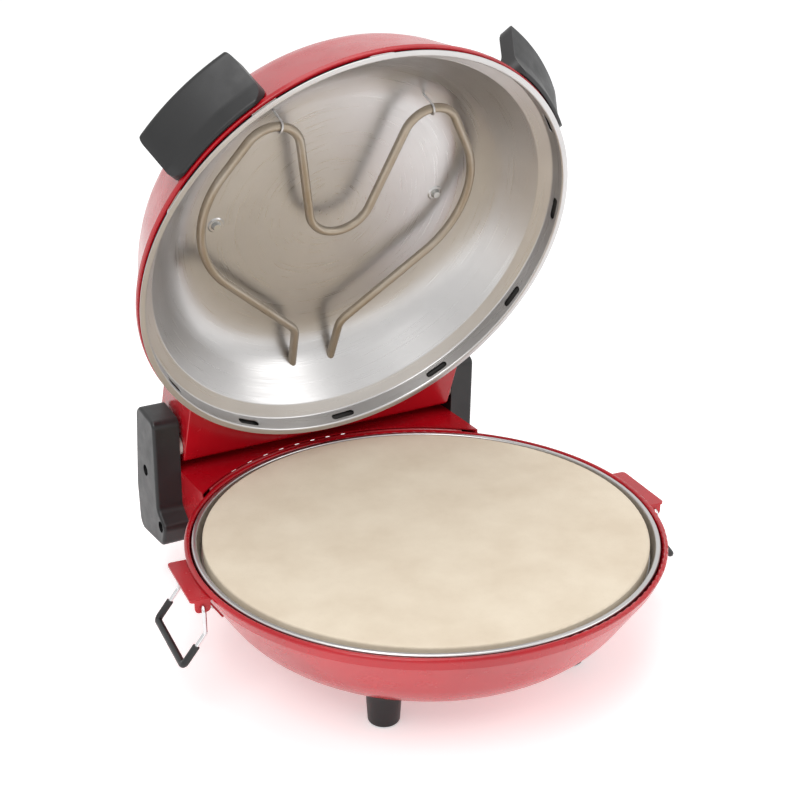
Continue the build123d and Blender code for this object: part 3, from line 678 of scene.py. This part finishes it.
class PIZZAMAKER_OT_dome(bpy.types.Operator):
    """Dome sheet with its rolled edge, over the lid's shell"""

    bl_idname = "pizza_maker.dome"
    bl_label = "Dome sheet"

    def execute(self, context):
        dome = lid_sheet("dome_sheet", DOME, DOME_SHEET)
        baked(dome)
        inner = Vector((0, 0, DOME_INNER_POINT * MM))
        for face in dome.data.polygons:
            face.material_index = int(face.normal.dot(face.center - inner) < 0)
        into_open_lid(dome)
        dome.data.materials.append(NODES["lid_shell"].data.materials[0])
        # slot 1: near-black painted shade on the dome's inner faces
        dome.data.materials.append(dull_finish("painted shade inside dome", DOME_INSIDE_SHADE, 0.6, 0.75))
        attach(dome, "lid")
        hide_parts("lid_shell")
        return {"FINISHED"}


class PIZZAMAKER_OT_reflector(bpy.types.Operator):
    """Reflector sheet with its slotted rim, over the lid's reflector"""

    bl_idname = "pizza_maker.reflector"
    bl_label = "Reflector sheet"

    def execute(self, context):
        sheet = lid_sheet("reflector_sheet", REFLECTOR, REFLECTOR_SHEET)
        cutter = slot_cutter()
        cut = sheet.modifiers.new("slots", "BOOLEAN")
        cut.operation = "DIFFERENCE"
        cut.solver = "EXACT"
        cut.object = cutter
        baked(sheet)
        bpy.data.objects.remove(cutter)
        into_open_lid(sheet)
        sheet.data.materials.append(NODES["lid_reflector"].data.materials[0])
        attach(sheet, "lid")
        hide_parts("lid_reflector")
        return {"FINISHED"}


class PIZZAMAKER_OT_lip(bpy.types.Operator):
    """Lip that closes the gap between the housing's deck and the rim"""

    bl_idname = "pizza_maker.lip"
    bl_label = "Deck lip"

    def execute(self, context):
        lip = deck_lip()
        baked(lip)
        lip.data.transform(Matrix.Translation(RIM))
        lip.data.materials.append(NODES["hinge_box"].data.materials[0])
        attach(lip, "base")
        return {"FINISHED"}


class PIZZAMAKER_OT_stage(bpy.types.Operator):
    """Pale floor, soft lamps, white surroundings and the camera"""

    bl_idname = "pizza_maker.stage"
    bl_label = "Studio"

    def execute(self, context):
        stage = context.scene.pizza_maker_stage
        scene = context.scene
        white_world()
        floor(stage.floor_size)
        target = RIM + Vector((0, 0.05, 0.08))
        level = stage.lamp_level
        area_lamp("key lamp", RIM + Vector((-1.1, -0.9, 1.9)), target, (1.2, 1.2), 20 * level)
        area_lamp("fill lamp", RIM + Vector((1.6, -1.2, 1.2)), target, (1.4, 1.0), 8 * level)
        area_lamp("top lamp", RIM + Vector((0.1, 0.3, 2.2)), target, (1.6, 1.6), 15 * level)
        data = bpy.data.cameras.new("camera")
        data.lens = stage.lens
        data.sensor_width = 36.0
        camera = bpy.data.objects.new("camera", data)
        scene.collection.objects.link(camera)
        place = RIM + Vector((stage.camera_right, stage.camera_back, stage.camera_up))
        turn = (
            Matrix.Rotation(stage.heading, 4, "Z")
            @ Matrix.Rotation(math.pi / 2 - stage.tilt, 4, "X")
            @ Matrix.Rotation(stage.roll, 4, "Z")
        )
        camera.matrix_world = Matrix.Translation(place) @ turn
        scene.camera = camera
        scene.view_settings.view_transform = "Standard"
        return {"FINISHED"}


OPERATORS = (
    PIZZAMAKER_OT_enamel,
    PIZZAMAKER_OT_bright,
    PIZZAMAKER_OT_elements,
    PIZZAMAKER_OT_plastic,
    PIZZAMAKER_OT_stone,
    PIZZAMAKER_OT_hardware,
    PIZZAMAKER_OT_dome,
    PIZZAMAKER_OT_reflector,
    PIZZAMAKER_OT_lip,
    PIZZAMAKER_OT_stage,
)


class PIZZAMAKER_PT_panel(bpy.types.Panel):
    """Sizes, colours and pieces of the pizza maker"""

    bl_idname = "PIZZAMAKER_PT_panel"
    bl_label = "Pizza maker"
    bl_space_type = "VIEW_3D"
    bl_region_type = "UI"
    bl_category = "Pizza maker"

    def draw(self, context):
        for settings in (context.scene.pizza_maker_finish, context.scene.pizza_maker_stage):
            for name in settings.__annotations__:
                self.layout.prop(settings, name)
        for operator in OPERATORS:
            self.layout.operator(operator.bl_idname)


CLASSES = (PizzaMakerFinish, PizzaMakerStage, *OPERATORS, PIZZAMAKER_PT_panel)


def register():
    for each in CLASSES:
        bpy.utils.register_class(each)
    bpy.types.Scene.pizza_maker_finish = bpy.props.PointerProperty(type=PizzaMakerFinish)
    bpy.types.Scene.pizza_maker_stage = bpy.props.PointerProperty(type=PizzaMakerStage)


def unregister():
    del bpy.types.Scene.pizza_maker_stage
    del bpy.types.Scene.pizza_maker_finish
    for each in reversed(CLASSES):
        bpy.utils.unregister_class(each)


def main():
    register()
    for operator in OPERATORS:
        category, name = operator.bl_idname.split(".")
        getattr(getattr(bpy.ops, category), name)()


if __name__ == "__main__":
    main()
